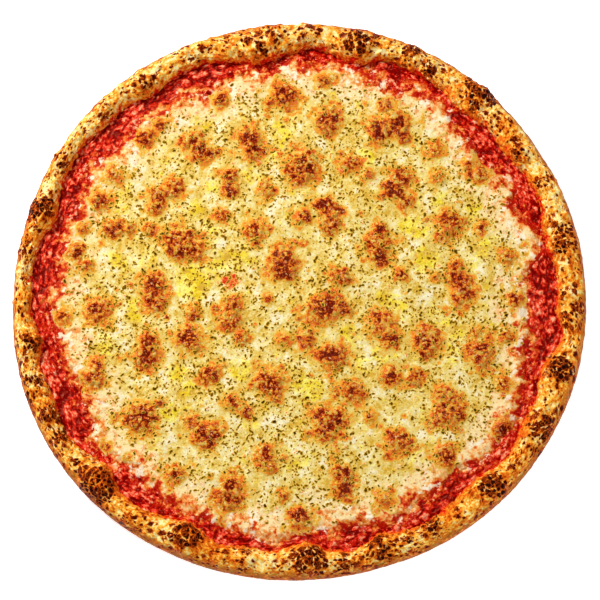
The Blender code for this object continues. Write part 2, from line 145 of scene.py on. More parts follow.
# Browned blisters of the cheese: (x, y, size, how browned)
BLISTERS = (
    (14, 117, 5, 0.7), (-8, 108, 8, 1.0), (-41, 107, 5, 0.7), (46, 102, 4, 0.9), (95, 63, 5, 1.0),
    (52, 93, 8, 1.0), (43, 88, 8, 1.0), (55, 85, 5, 0.9), (16, 94, 8, 0.95), (-73, 93, 5, 0.6),
    (-81, 86, 6, 0.85), (-55, 84, 7, 0.95), (-51, 77, 7, 1.0), (-26, 85, 7, 0.85), (-24, 78, 6, 0.9),
    (72, 77, 5, 0.45), (27, 70, 6, 0.8), (1, 68, 10, 1.0), (89, 69, 4, 0.7), (37, 64, 4, 0.7),
    (73, 62, 5, 0.4), (54, 62, 6, 0.9), (50, 55, 7, 0.95), (56, 50, 5, 0.8), (-97, 66, 6, 0.45),
    (-36, 64, 5, 0.8), (-35, 57, 5, 0.9), (-17, 57, 5, 0.7), (-66, 58, 6, 0.85), (-74, 54, 6, 0.95),
    (-75, 47, 5, 0.9), (-104, 51, 6, 0.75), (-40, 43, 5, 0.75), (3, 42, 5, 0.75), (16, 46, 6, 0.9),
    (17, 38, 7, 0.95), (79, 38, 8, 0.85), (75, 30, 5, 0.5), (95, 34, 4, 0.6), (43, 34, 5, 0.85),
    (41, 26, 8, 1.0), (42, 19, 6, 0.9), (-96, 36, 6, 0.8), (-88, 36, 4, 0.7), (-78, 36, 4, 0.65),
    (-113, 36, 4, 0.5), (-23, 34, 7, 0.9), (-62, 27, 9, 1.0), (-54, 23, 6, 0.9), (-116, 23, 5, 0.95),
    (-111, 16, 5, 0.4), (108, 18, 5, 0.85), (-8, 16, 9, 1.0), (-4, 10, 5, 0.8), (22, 8, 6, 0.85),
    (53, 9, 5, 0.7), (71, 8, 4, 0.5), (82, 14, 4, 0.6), (83, 5, 7, 0.95), (84, -3, 7, 1.0),
    (-75, 5, 7, 0.95), (-74, -4, 7, 0.95), (112, -5, 5, 0.7), (-104, -8, 7, 0.95), (-122, -11, 5, 0.6),
    (-54, -10, 5, 0.6), (-34, -6, 6, 0.95), (-35, -14, 7, 0.9), (-16, -3, 4, 0.4), (13, -8, 10, 1.0),
    (24, -8, 5, 1.0), (42, -17, 8, 0.85), (48, -24, 6, 0.8), (67, -26, 8, 0.95), (65, -33, 5, 0.9),
    (107, -24, 5, 0.7), (91, -22, 4, 0.4), (-78, -25, 6, 0.85), (-78, -33, 7, 1.0), (-57, -24, 8, 0.8),
    (-29, -24, 5, 0.7), (-7, -25, 5, 0.4), (5, -24, 5, 0.7), (17, -34, 8, 0.95), (94, -34, 8, 0.95),
    (-104, -38, 5, 0.75), (-104, -44, 6, 0.85), (-45, -43, 6, 0.85), (-15, -48, 8, 1.0),
    (-11, -56, 4, 0.6), (48, -45, 6, 0.8), (60, -45, 5, 0.9), (105, -49, 5, 0.6), (27, -53, 7, 0.8),
    (75, -55, 6, 0.9), (77, -64, 9, 1.0), (-81, -65, 9, 1.0), (-34, -58, 5, 0.6), (-27, -62, 4, 0.7),
    (11, -65, 6, 0.9), (20, -67, 6, 0.9), (14, -72, 7, 0.95), (37, -66, 4, 0.6), (-54, -69, 5, 0.8),
    (-48, -75, 8, 1.0), (104, -73, 5, 2.0), (51, -79, 7, 0.9), (-17, -85, 6, 0.95),
    (-15, -91, 6, 0.95), (74, -86, 6, 0.85), (-62, -95, 6, 0.8), (23, -95, 6, 0.9), (23, -103, 6, 0.9),
    (-34, -102, 6, 0.95), (-35, -108, 7, 0.95), (-7, -107, 4, 0.6), (43, -109, 5, 0.6),
    (1, -118, 6, 0.8),
)

# Small browned marks that don't stand up from the cheese
SMALL_BROWNINGS = (
    (20, 119, 3, 0.6), (35, 104, 3, 0.35), (-43, 78, 4, 0.7), (-18, 78, 4, 0.7), (-35, 77, 4, 0.35),
    (29, 77, 4, 0.3), (44, 52, 4, 0.8), (-104, 46, 4, 0.4), (23, 44, 4, 0.7), (33, 43, 3, 0.6),
    (86, 38, 4, 0.8), (31, 25, 4, 0.5), (-15, 35, 4, 0.7), (-22, 27, 5, 0.7), (-57, 33, 4, 0.8),
    (117, 25, 3, 0.4), (-68, -12, 3, 0.8), (-99, -16, 4, 0.5), (-43, -8, 4, 0.7), (-75, -42, 3, 0.5),
    (-93, -33, 4, 0.4), (-20, -46, 4, 0.9), (20, -54, 4, 0.7), (34, -55, 4, 0.6), (82, -73, 4, 0.6),
    (-88, -68, 4, 0.8), (-71, -58, 4, 0.9), (5, -75, 4, 0.8), (22, -76, 4, 0.8), (42, -71, 3, 0.4),
    (-41, -76, 4, 0.7), (57, -81, 4, 0.6), (52, -87, 4, 0.4), (46, -74, 4, 0.6), (-8, -87, 4, 0.6),
    (25, -109, 4, 0.7), (19, -85, 4, 0.4), (-87, -86, 4, 0.5), (-98, -80, 4, 0.6), (-10, -79, 4, 0.4),
    (-45, -97, 4, 0.3), (118, 46, 4, 0.9),
)

# Pools of yellow oil on the cheese: (x, y, size, strength)
OIL_POOLS = (
    (-8, 92, 6, 0.9), (-12, 76, 5, 0.7), (-52, 92, 5, 0.6), (-94, 58, 5, 0.7), (-95, 48, 5, 0.6),
    (-56, 5, 8, 1.0), (-55, 12, 6, 0.7), (-24, 65, 5, 0.6), (-42, 60, 6, 0.6), (-54, 45, 6, 0.6),
    (-48, 34, 6, 0.7), (-82, 20, 6, 0.5), (-93, 20, 5, 0.5), (-45, 16, 7, 0.6), (-30, 20, 6, 0.5),
    (17, 108, 4, 0.6), (35, 73, 5, 1.0), (66, 17, 6, 0.7), (64, 33, 5, 0.6), (75, 48, 5, 0.7),
    (93, 43, 5, 0.7), (57, 37, 5, 0.7), (92, 18, 5, 0.5), (98, 28, 5, 0.6), (3, 54, 6, 0.5),
    (-83, -8, 6, 0.9), (-100, -27, 5, 0.8), (-57, -50, 5, 0.7), (-67, -63, 5, 0.8), (-55, -65, 5, 0.6),
    (-77, -80, 6, 0.7), (-3, -44, 5, 0.5), (5, -51, 7, 0.9), (-30, -40, 6, 0.6), (-62, -42, 5, 0.6),
    (-24, -68, 5, 0.5), (50, -10, 6, 0.8), (73, -14, 6, 0.6), (104, -12, 6, 0.7), (44, -34, 6, 0.9),
    (26, -25, 6, 0.5), (76, -33, 6, 0.7), (66, -67, 5, 0.6), (62, -86, 6, 0.7), (0, -90, 5, 0.6),
    (35, -38, 6, 0.5), (48, -6, 5, 0.6), (85, -24, 5, 0.5),
)

# Places where sauce shows through the cheese
SAUCE_SPOTS = ((-35, 7, 4, 1.0), (37, 63, 4, 0.4), (103, -67, 5, 0.6), (118, 45, 5, 0.7))

# How far these spots reach, as shares of their sizes
MOUND_REACH = 1.15
POOL_REACH = 1.6
HALO_REACH = 1.6
MARK_REACH = 1.1

# Herb flakes: the large ones lie as in the solids
FLAKE_COUNT = 110
FLAKE_LENGTHS = (3.0, 2.0)
FLAKE_SPACING = 6.5
FLAKE_FIELD = 116.0
SMALL_FLAKE_COUNT = 6600
SMALL_FLAKE_LENGTHS = (0.4, 2.4)
SMALL_FLAKE_FIELD = 123.0
FLAKE_DRAWS = 4000
FLAKE_SIDES = 6
FLAKE_POINTS = 2 * FLAKE_SIDES + 1
FLAKE_SKIRT = 0.6

# Noise is drawn out along the rim by the rim's radius over these
CRUST_NOISE_RADIUS = 120.0
SAUCE_NOISE_RADIUS = 84.0

# The radius of the rim's roll in its noise, and where the foot lies on it
ROLL_NOISE_RADIUS = 8.0
ROLL_FOOT_PHI = 190.0

# Mesh fineness
RIM_DIRECTIONS = 1440
RIM_OUTER_ROWS = 38
RIM_INNER_ROWS = 28
SAUCE_DIRECTIONS = 1500
SAUCE_ROWS = 42
EDGE_POINTS = 1200
CHEESE_STEPS = (1.3, 0.74, 0.54)
CHEESE_REACH = 133.0
TRIANGLE_HEIGHT = 0.866

# The light: soft lights as (name, power, size, place), and the sky from the horizon up
SOFTBOXES = (("key", 21.0, 0.35, (-0.7, 0.7, 0.95)), ("fill", 4.8, 0.8, (0.9, -0.6, 0.7)))
SKY = {"From Min": 0.1, "From Max": 0.5, "To Min": 1.0, "To Max": 0.12}
WHITE = (1.0, 1.0, 1.0, 1.0)
FLOOR_COLOUR = (252, 252, 252)
FLOOR_GLOW = {"Emission Color": WHITE, "Emission Strength": 0.8}
FLOOR_SIZE = 6.0
FLOOR_HEIGHT = -0.0001

# The photograph's camera
CAMERA_DISTANCE = 1.3
CAMERA_AZIMUTH = 8.0
CAMERA_ELEVATION = 74.0
CAMERA_AIM = Vector((0.0008, -0.0029, 0.006))
CAMERA_LENS = 150.3
CAMERA_SENSOR = 36.0
CAMERA_NEAREST = 0.05


def smooth(x):
    """Ease from 0 to 1."""
    x = np.clip(x, 0.0, 1.0)
    return x * x * (3.0 - 2.0 * x)


def hashed(ix, iy, iz, seed):
    """Give a repeatable random number from 0 to 1 for each lattice cell."""
    mask = 0xFFFFFFFF
    h = (ix * 374761393 + iy * 668265263 + iz * 1274126177 + seed * 974634777) & mask
    h = ((h ^ (h >> 13)) * 1103515245 + 12345) & mask
    h = ((h ^ (h >> 16)) * 2246822519) & mask
    return ((h ^ (h >> 15)) & mask) / 4294967296.0


def value_noise(x, y, z, size, seed):
    """Give smooth noise from 0 to 1 whose features are about size wide."""
    x, y, z = (np.asarray(v) / size for v in np.broadcast_arrays(x, y, z))
    ix, iy, iz = (np.floor(v).astype(np.int64) for v in (x, y, z))
    fx, fy, fz = smooth(x - ix), smooth(y - iy), smooth(z - iz)
    total = 0.0
    for dx, dy, dz in itertools.product((0, 1), repeat=3):
        weight = np.abs(1 - dx - fx) * np.abs(1 - dy - fy) * np.abs(1 - dz - fz)
        total = total + weight * hashed(ix + dx, iy + dy, iz + dz, seed)
    return total


def fractal(x, y, z, size, seed, octaves=3):
    """Give noise with finer and finer parts, from about -0.5 to 0.5."""
    total, reach, scale = 0.0, 0.0, 1.0
    for k in range(octaves):
        total = total + scale * value_noise(x, y, z, size / 2**k, seed + 17 * k)
        reach += scale
        scale *= 0.5
    return total / reach - 0.5


def grains(x, y, z, size, seed):
    """Give the distances, in sizes, to the nearest two grains, and the first's number."""
    place = [np.asarray(v, float) / size for v in np.broadcast_arrays(x, y, z)]
    cell = [np.floor(v).astype(np.int64) for v in place]
    first, second, number = (np.full(place[0].shape, start) for start in (9.0, 9.0, 0.0))
    for step in itertools.product((-1, 0, 1), repeat=3):
        near = [c + s for c, s in zip(cell, step)]
        square = 0.0
        for axis in range(3):
            middle = near[axis] + hashed(*near, seed + axis)
            square = square + (place[axis] - middle) ** 2
        gap = np.sqrt(square)
        closer = gap < first
        second = np.where(closer, first, np.minimum(second, gap))
        number = np.where(closer, hashed(*near, seed + 3), number)
        first = np.where(closer, gap, first)
    return first, second, number


def nuggets(x, y, z, size, seed):
    """Give the relief of packed nuggets: 0 in the cracks between them, up to 1 on top."""
    warp = 0.35 * size * fractal(x, y, z, size, seed + 5, 2)
    first, second, number = grains(x + warp, y - warp, z, size, seed)
    return smooth((second - first) / 0.5) * (0.45 + 0.55 * number)


def ripple(x, y, wavelength, seed):
    """Give a smooth uneven field, about 1 high, as a sum of waves in all directions."""
    rng = np.random.default_rng(seed)
    total, waves = 0.0, 9
    for heading in rng.uniform(0.0, math.tau, waves):
        pitch = math.tau / (wavelength * rng.uniform(0.7, 1.5))
        along = x * math.cos(heading) + y * math.sin(heading)
        total = total + np.sin(along * pitch + rng.uniform(0.0, math.tau))
    return total / math.sqrt(waves)


def dome(distance, size):
    """Give a round bump, 1 high at its middle and 0 from size outwards."""
    return smooth(1.0 - (distance / size) ** 2)


def strongest(x, y, spots, reach):
    """Give the strongest at each place of some round spots that fade out."""
    level = 0.0
    for across, up, size, strength in spots:
        level = np.maximum(level, strength * dome(np.hypot(x - across, y - up), size * reach))
    return level


def placed(spots):
    """Turn spots given by direction and radius into spots given by x and y."""
    found = []
    for heading, radius, size, strength in spots:
        angle = math.radians(heading)
        found.append((radius * math.cos(angle), radius * math.sin(angle), size, strength))
    return found


def radius_at(edge, degrees):
    """Read an edge's radius at some directions, with its corners rounded a little."""
    angles, radii = zip(*edge)
    steps = (-EDGE_ROUNDING, 0.0, EDGE_ROUNDING)
    reads = [np.interp(degrees + step, angles, radii, period=360.0) for step in steps]
    return np.mean(reads, axis=0)


def cheese_radius(degrees):
    """Give the radius of the cheese's tattered edge."""
    plain = radius_at(CHEESE_EDGE, degrees)
    angle = np.radians(degrees)
    x, y = CHEESE_RADIUS * np.cos(angle), CHEESE_RADIUS * np.sin(angle)
    tatters = 6.0 * fractal(x, y, 0.0, 4.6, 61) + 2.4 * fractal(x, y, 0.0, 1.5, 62)
    return np.minimum(plain + tatters, radius_at(INNER_EDGE, degrees) - LEAST_SAUCE_WIDTH)


def heading_of(x, y):
    """Give the direction of a place from the middle, in degrees."""
    return np.degrees(np.arctan2(y, x))


def around(count):
    """Give the directions of a ring of points, in degrees."""
    return np.arange(count) * 360.0 / count


def ring_points(degrees, radius, height):
    """Place points by direction, radius and height."""
    angle = np.radians(degrees)
    parts = np.broadcast_arrays(radius * np.cos(angle), radius * np.sin(angle), height)
    return np.stack(parts, axis=-1)


def ring_faces(rows, count):
    """Give the quads between rows of a ring, row after row."""
    i = np.arange(count)
    j = (i + 1) % count
    start = np.arange(rows - 1)[:, None] * count
    quads = np.stack([start + i, start + j, start + j + count, start + i + count], axis=-1)
    return quads.reshape(-1, 4)


def fan_faces(start, count, middle, flip):
    """Give the triangles from one ring to a middle point."""
    i, m = np.arange(start, start + count), np.full(count, middle)
    j = np.roll(i, -1)
    return np.stack([m, j, i] if flip else [m, i, j], axis=-1)


def closed_faces(rows, count):
    """Give the faces of rows of rings, closed at both ends with a middle point."""
    faces = ring_faces(rows, count).tolist()
    faces += fan_faces(0, count, rows * count, True).tolist()
    faces += fan_faces((rows - 1) * count, count, rows * count + 1, False).tolist()
    return faces


def added(name, data):
    """Add an object to the scene."""
    thing = bpy.data.objects.new(name, data)
    bpy.context.scene.collection.objects.link(thing)
    return thing


def mesh_piece(name, points, faces, mat, node, masks, replaced=True):
    """Make a piece for a node from points in millimetres, with masks for its material."""
    mesh = bpy.data.meshes.new(name)
    mesh.from_pydata((points * MM).tolist(), [], faces)
    mesh.update()
    mesh.materials.append(mat)
    mesh.shade_smooth()
    for mask, values in masks.items():
        values = np.asarray(values, np.float32)
        kind, part = ("FLOAT", "value") if values.ndim == 1 else ("FLOAT_VECTOR", "vector")
        mesh.attributes.new(mask, kind, "POINT").data.foreach_set(part, values.ravel())
    piece = added(name, mesh)
    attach(piece, "root")
    if replaced:
        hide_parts(node)


# ---- materials


def display(*colour):
    """Turn a screen's colour, 0 to 255, into the linear one that shaders use."""
    shares = [part / 255.0 for part in colour]
    linear = [s / 12.92 if s <= 0.04045 else ((s + 0.055) / 1.055) ** 2.4 for s in shares]
    return (*linear, 1.0)


def feed(node, inputs):
    """Feed a node's sockets, each from another node or with a plain value."""
    for name, value in inputs.items():
        if isinstance(value, bpy.types.NodeSocket):
            node.id_data.links.new(value, node.inputs[name])
        else:
            node.inputs[name].default_value = value


def add_node(tree, kind, inputs, **settings):
    """Add a node with its settings and what goes into its sockets."""
    node = tree.nodes.new("ShaderNode" + kind)
    for name, value in settings.items():
        setattr(node, name, value)
    feed(node, inputs)
    return node


class Shader:
    """A short way to write one material's nodes."""

    def __init__(self, name, roughness, specular, tint=(1.0, 1.0, 1.0)):
        self.material = bpy.data.materials.new(name)
        self.material.use_nodes = True
        self.tree = self.material.node_tree
        self.surface = self.tree.nodes["Principled BSDF"]
        inputs = {"Specular IOR Level": specular, "Specular Tint": (*tint, 1.0)}
        feed(self.surface, {"Roughness": roughness, **inputs})
        place = self.node("TexCoord", {}).outputs["Object"]
        scaled = self.node("VectorMath", {0: place, "Scale": 1.0 / MM}, operation="SCALE")
        self.place = scaled.outputs[0]

    def node(self, kind, inputs, **settings):
        """Add a node to the material."""
        return add_node(self.tree, kind, inputs, **settings)

    def mask(self, name, output="Fac"):
        """Read one of the mesh's masks, as a Vector if it holds places."""
        return self.node("Attribute", {}, attribute_name=name).outputs[output]

    def noise(self, size, detail=3.0, roughness=0.6, swing=None):
        """Give noise with features size millimetres wide, or that times swing round 0."""
        inputs = {"Vector": self.place, "Scale": 1.0 / size}
        inputs |= {"Detail": detail, "Roughness": roughness}
        value = self.node("TexNoise", inputs).outputs["Fac"]
        return value if swing is None else self.around(value, swing)

    def cells(self, size):
        """Give uneven cells: how far their middle and border are, and a random number."""
        warp = self.node("TexNoise", {"Vector": self.place, "Scale": 1.0 / (0.7 * size)})
        warped = {0: warp.outputs["Color"], 1: [0.9 * size] * 3, 2: self.place}
        shifted = self.node("VectorMath", warped, operation="MULTIPLY_ADD").outputs[0]
        inputs = {"Vector": shifted, "Scale": 1.0 / size}
        middle = self.node("TexVoronoi", inputs, feature="F1")
        border = self.node("TexVoronoi", inputs, feature="DISTANCE_TO_EDGE")
        part = self.node("SeparateColor", {"Color": middle.outputs["Color"]})
        return middle.outputs["Distance"], border.outputs["Distance"], part.outputs["Red"]

    def math(self, operation, *values):
        """Work out one sum."""
        return self.node("Math", dict(enumerate(values)), operation=operation).outputs[0]

    def times(self, first, second):
        """Multiply two values."""
        return self.math("MULTIPLY", first, second)

    def scaled(self, value, factor, shift):
        """Multiply a value by a factor and add a shift."""
        return self.math("MULTIPLY_ADD", value, factor, shift)

    def around(self, value, swing):
        """Turn noise from 0 to 1 into a swing round 0."""
        return self.scaled(value, swing, -0.5 * swing)

    def add(self, *values):
        """Add up several values."""
        total = values[0]
        for value in values[1:]:
            total = self.math("ADD", total, value)
        return total

    def step(self, value, low, high):
        """Ease from 0 at low to 1 at high."""
        inputs = {"Value": value, "From Min": low, "From Max": high}
        return self.node("MapRange", inputs, interpolation_type="SMOOTHSTEP").outputs["Result"]

    def ramp(self, value, *stops):
        """Colour a value by stops of position, red, green and blue."""
        node = self.node("ValToRGB", {"Fac": value})
        elements = node.color_ramp.elements
        while len(elements) < len(stops):
            elements.new(0.5)
        for element, (position, *colour) in zip(elements, stops):
            element.position = position
            element.color = display(*colour)
        return node.outputs["Color"]

    def mix(self, share, *colours):
        """Mix two colours, given as nodes or as seen on a screen."""
        first, second = (display(*c) if isinstance(c, tuple) else c for c in colours)
        inputs = {"Factor": share, FIRST_COLOUR: first, SECOND_COLOUR: second}
        return self.node("Mix", inputs, data_type="RGBA").outputs[MIXED_COLOUR]

    def laid(self, colour, paint, value, low, high, most=None):
        """Lay paint over a colour where a value rises from low to high, up to most of it."""
        share = self.step(value, low, high)
        return self.mix(share if most is None else self.times(share, most), colour, paint)

    def bump(self, height, depth):
        """Make fine relief, depth millimetres high where height is 1."""
        inputs = {"Height": height, "Distance": depth * MM, "Strength": 1.0}
        return self.node("Bump", inputs).outputs["Normal"]

    def finish(self, colour, **inputs):
        """Feed the surface and give the material."""
        feed(self.surface, {"Base Color": colour, **inputs})
        return self.material


def crust_material():
    """Baked dough: cream to orange by how toasted it is, with brown and black spots."""
    s = Shader("baked_crust", 0.5, 0.05, (1.0, 0.5, 0.15))
    s.place = s.mask("drawn_out", "Vector")
    broad, fine = s.noise(3.4, 4.0), s.noise(1.4, 2.0)
    toast = s.add(s.mask("toast"), s.around(broad, 1.7), s.around(fine, 1.5))
    colour = s.ramp(
        toast, (0.08, 255, 238, 166), (0.24, 255, 214, 106), (0.4, 255, 182, 58),
        (0.56, 244, 142, 34), (0.74, 220, 96, 14), (0.95, 172, 54, 5),
    )
    low = s.mask("low")
    # Brown streaks, with painted shadow darkening the wall's foot
    streaks_and_foot_shadow = s.add(broad, s.around(fine, 1.0), s.times(s.step(low, 1.0, 1.5), -0.2))
    wall = s.ramp(
        streaks_and_foot_shadow, (0.28, 72, 20, 0), (0.46, 126, 54, 6), (0.6, 186, 108, 28), (0.75, 232, 172, 70),
    )
    colour = s.laid(colour, wall, s.add(low, s.around(broad, 1.2)), 0.1, 1.0, 0.82)
    colour = pitted(s, colour, fine)
    stain = s.add(s.mask("stain"), s.noise(5.0, 5.0, 0.7, 3.2), s.around(fine, 1.0))
    colour = s.laid(colour, (248, 112, 26), stain, 0.3, 0.7, 0.8)
    colour = s.laid(colour, (214, 26, 8), stain, 0.72, 0.9)
    relief = s.add(s.times(fine, 0.6), s.times(broad, 0.8))
    return s.finish(colour, Normal=s.bump(relief, 1.4))


def pitted(s, colour, fine):
    """Spot the rim with clustered burnt pits, black where it is charred."""
    char = s.add(s.mask("char"), s.noise(3.0, 4.0, 0.65, 1.8))
    for size, widest in ((3.7, 0.54), (2.2, 0.5)):
        distance, border, number = s.cells(size)
        reach = s.times(s.scaled(number, widest, 0.06), s.mask("spots"))
        reach = s.scaled(s.step(char, 0.1, 1.0), 0.36, reach)
        ragged = s.noise(1.3, 3.0, 0.6, 1.5 / size**0.5)
        near = s.add(s.math("SUBTRACT", reach, distance), ragged)
        strand = s.add(s.scaled(border, 1.8, -0.1), s.around(fine, 0.7))
        near = s.math("MINIMUM", near, strand)
        colour = s.laid(colour, (216, 88, 8), near, -0.22, 0.0, 0.55)
        colour = s.laid(colour, (142, 38, 5), near, -0.05, 0.03)
        colour = s.laid(colour, (54, 6, 2), near, 0.04, 0.17, 0.88)
        black = s.times(s.step(near, 0.0, 0.12), s.step(char, 0.4, 0.95))
        colour = s.mix(s.times(black, 0.9), colour, (26, 3, 3))
    return colour


def sauce_material():
    """Wet cooked tomato, coloured by its lumps: painted shade in the crimson hollows, bright red
    lumps, and painted salmon highlights on their ridges.
    """
    s = Shader("cooked_tomato", 0.18, 0.35, (1.0, 0.3, 0.15))
    plain, s.place = s.place, s.mask("drawn_out", "Vector")
    middle, fine = s.noise(3.2), s.noise(1.4, 2.0)
    # Painted shade and light: the lumps' height darkens the hollows and lightens the tops towards
    # salmon highlights
    tone = s.add(s.mask("lump_painted_light"), s.noise(6.0, 3.0, 0.55, 2.4), s.around(middle, 2.9))
    tone = s.add(s.math("MINIMUM", tone, 0.78), s.around(fine, 2.2))
    s.place = plain
    colour = s.ramp(
        tone, (0.1, 122, 0, 0), (0.3, 174, 5, 3), (0.5, 226, 36, 16), (0.7, 244, 86, 52),
        (0.86, 250, 132, 92), (1.0, 253, 178, 136),
    )
    colour = melted_edge(s, colour, -3.5, -2.4)
    return s.finish(colour, Normal=s.bump(s.scaled(fine, 0.6, middle), 1.4))


def melted_edge(s, colour, none, full):
    """Stain the edge where cheese breaks up into curds: none at one depth, full at another."""
    _, _, number = s.cells(4.6)
    frayed = s.noise(1.3, 4.0, 0.65, 12.0)
    broad, middle = s.noise(7.0, 2.0, 0.5, 30.0), s.noise(3.0, 3.0, 0.6, 26.0)
    depth = s.mask("inset")
    inset = s.add(depth, broad, middle, s.around(number, 6.0), frayed)
    inset = s.math("MINIMUM", inset, s.add(depth, 6.0, frayed))
    stained = s.ramp(
        s.step(inset, -4.0, 11.0), (0.06, 186, 8, 3), (0.18, 210, 46, 14), (0.32, 230, 96, 34),
        (0.47, 242, 140, 60), (0.64, 248, 174, 96), (0.82, 252, 204, 134), (0.96, 253, 225, 164),
    )
    colour = s.laid(colour, stained, inset, none, full)
    near = s.times(s.step(inset, -0.5, 2.0), s.step(depth, 22.0, 9.0))
    near = s.times(near, s.step(depth, -4.0, 1.0))
    orange = s.times(near, s.step(s.noise(4.2, 4.0), 0.54, 0.61))
    colour = s.mix(s.times(orange, 0.85), colour, (232, 128, 30))
    white = s.times(near, s.step(s.noise(6.0), 0.57, 0.64))
    return s.mix(s.times(white, 0.8), colour, (255, 245, 218))


def cheese_material():
    """Melted cheese: pale cream, yellow oil, stained edges and browned blisters."""
    s = Shader("melted_cheese", 0.28, 0.35, (1.0, 0.6, 0.2))
    broad, middle, fine = s.noise(8.0, 3.0, 0.55), s.noise(2.6, 4.0), s.noise(1.0, 3.0, 0.65)
    tone = s.add(s.around(broad, 2.4), s.around(middle, 1.5), s.around(fine, 1.5), 0.52)
    colour = s.ramp(
        tone, (0.05, 216, 168, 52), (0.27, 232, 198, 92), (0.5, 239, 215, 130),
        (0.7, 244, 227, 160), (0.92, 251, 240, 202),
    )
    oily = s.ramp(tone, (0.2, 230, 194, 8), (0.55, 245, 220, 36), (0.9, 254, 242, 110))
    oil = s.add(s.mask("oil"), s.around(middle, 3.0), s.around(fine, 2.4))
    oil = s.add(oil, s.noise(5.0, swing=2.4))
    colour = s.laid(colour, oily, oil, 0.37, 0.7, 0.92)
    colour = melted_edge(s, colour, 20.0, 12.0)
    core = s.mask("core")
    colour = browned(s, colour, core, middle, fine)
    red = s.add(s.mask("red"), s.around(middle, 3.0), s.around(fine, 2.0))
    colour = s.laid(colour, (246, 134, 62), red, 0.45, 0.65)
    colour = s.laid(colour, (216, 40, 14), red, 0.75, 0.95)
    relief = s.scaled(fine, s.scaled(core, 0.8, 0.6), middle)
    wet = s.scaled(core, -0.14, 0.28)
    return s.finish(colour, Normal=s.bump(relief, 0.9), Roughness=wet)


def browned(s, colour, core, middle, fine):
    """Bake the blisters: golden halos, brown crumbs with painted highlights on their ridges, and herb
    crumbs.
    """
    level = s.mask("brown")
    uneven = s.add(s.around(middle, 2.1), s.around(fine, 1.6), 0.05)
    uneven = s.math("MINIMUM", uneven, s.scaled(core, 0.45, 0.16))
    brown = s.scaled(s.step(level, 0.0, 0.25), uneven, level)
    baked = s.ramp(
        brown, (0.06, 238, 212, 126), (0.17, 232, 191, 84), (0.3, 234, 174, 46),
        (0.42, 237, 154, 38), (0.54, 236, 118, 32), (0.66, 214, 78, 20), (0.78, 170, 38, 6),
        (0.92, 110, 9, 0),
    )
    colour = s.laid(colour, baked, brown, 0.0, 0.12)
    # Painted highlight: pale salmon on the highest crumbs, broken up by noise, standing in for glints
    crumb = s.scaled(s.mask("crumb"), 0.5, s.noise(1.3, 2.0, 0.5, 3.2))
    painted_highlight = s.times(s.step(crumb, 0.54, 0.8), s.step(level, 0.2, 0.5))
    colour = s.mix(s.times(painted_highlight, 0.85), colour, (255, 200, 138))
    return specked(s, colour, s.step(core, 0.5, 0.0), level)


def specked(s, colour, plain, level):
    """Dot the cheese with the finest herb crumbs, each in its golden stain."""
    distance, _, number = s.cells(2.0)
    reach = s.scaled(s.step(level, 0.0, 0.3), 0.12, s.scaled(number, 0.5, -0.33))
    near = s.add(s.math("SUBTRACT", reach, distance), s.noise(0.9, 3.0, 0.6, 0.4))
    stain = s.times(s.step(near, -0.3, 0.0), 0.6)
    colour = s.mix(s.times(stain, plain), colour, (208, 144, 10))
    return s.laid(colour, (98, 48, 0), near, -0.05, 0.06, plain)


def herb_material():
    """Dried herbs: dark olive green to brown, in a stain of golden oil."""
    s = Shader("dried_herbs", 0.5, 0.1, (1.0, 0.8, 0.3))
    tone = s.add(s.mask("shade"), s.noise(0.5, 3.0, 0.55, 0.5))
    dry = s.ramp(tone, (0.1, 38, 24, 0), (0.4, 68, 48, 2), (0.7, 106, 80, 8), (0.95, 128, 76, 8))
    stain = s.add(s.mask("stain"), s.noise(0.9, 2.0, 0.5, 0.6))
    golden = s.ramp(stain, (0.1, 150, 106, 8), (0.3, 206, 154, 22), (0.6, 236, 200, 84))
    colour = s.laid(dry, golden, stain, 0.0, 0.15)
    return s.finish(colour, Normal=s.bump(s.noise(0.4, 2.0, 0.55), 0.1))


# ---- crust


def roll_points(degrees, phi):
    """Give the rim's roll: phi is -90 under it, 90 on its crest and 180 inside."""
    outer = radius_at(OUTER_EDGE, degrees)
    width = outer - radius_at(INNER_EDGE, degrees)
    crest = RIM_LOW_HEIGHT + RIM_HEIGHT_PER_WIDTH * width
    widest = RIM_WIDEST_SHARE * crest
    outer_run = RIM_CREST_SHARE * width
    turn = np.radians(phi)
    across, up = np.cos(turn), np.sin(turn)
    run = np.where(phi < 90.0, outer_run, width - outer_run)
    under = widest * (1.0 + up)
    outside = widest + (crest - widest) * up
    inside = RIM_INNER_Z + (crest - RIM_INNER_Z) * up
    height = np.where(phi < 0.0, under, np.where(phi < 90.0, outside, inside))
    return ring_points(degrees, outer - outer_run + run * across, height)


def puffed(points, degrees, phi):
    """Push the roll outwards where a bubble or the dough's unevenness is."""
    x, y = points[..., 0], points[..., 1]
    lift = RIM_ROUGHNESS * (ripple(x, y, 9.0, seed=4) + 0.7 * ripple(x, y, 5.0, seed=5))
    for across, up, size, height in placed(RIM_BUBBLES):
        lift = lift + height * dome(np.hypot(x - across, y - up), size)
    hold = np.sin(np.radians(np.maximum(phi, 0.0))) ** 0.5
    outward = ring_points(degrees, 0.5 * np.cos(np.radians(phi)), 1.0)
    return points + outward * (lift * hold)[..., None]


def crackled(points, degrees, phi, char, blister):
    """Roughen the skin: small blisters, wrinkles, and crumbling where it is burnt."""
    x, y, z = np.moveaxis(points, -1, 0)
    wrinkle = 1.9 * fractal(x, y, z, 5.0, 71) + 0.7 * fractal(x, y, z, 2.0, 72)
    crumble = 0.8 * smooth(char / 0.5) * (nuggets(x, y, z, 2.6, 73) - 0.5)
    rise = (wrinkle + 0.7 * blister + crumble) * (0.25 + 0.75 * smooth((phi - 10.0) / 50.0))
    rise = rise + smooth((phi - 125.0) / 30.0) * (nuggets(x, y, z, 3.0, 75) - 0.4)
    bottom = smooth((phi + 88.0) / 40.0)
    turn = np.radians(phi)
    outward = ring_points(degrees, np.cos(turn), np.abs(np.sin(turn)))
    moved = points + outward * (rise * bottom)[..., None]
    over = np.clip(moved[..., 2] - HIGHEST_RIM, 0.0, None)
    moved[..., 2] -= over - 0.3 * np.tanh(over / 0.3)
    return moved


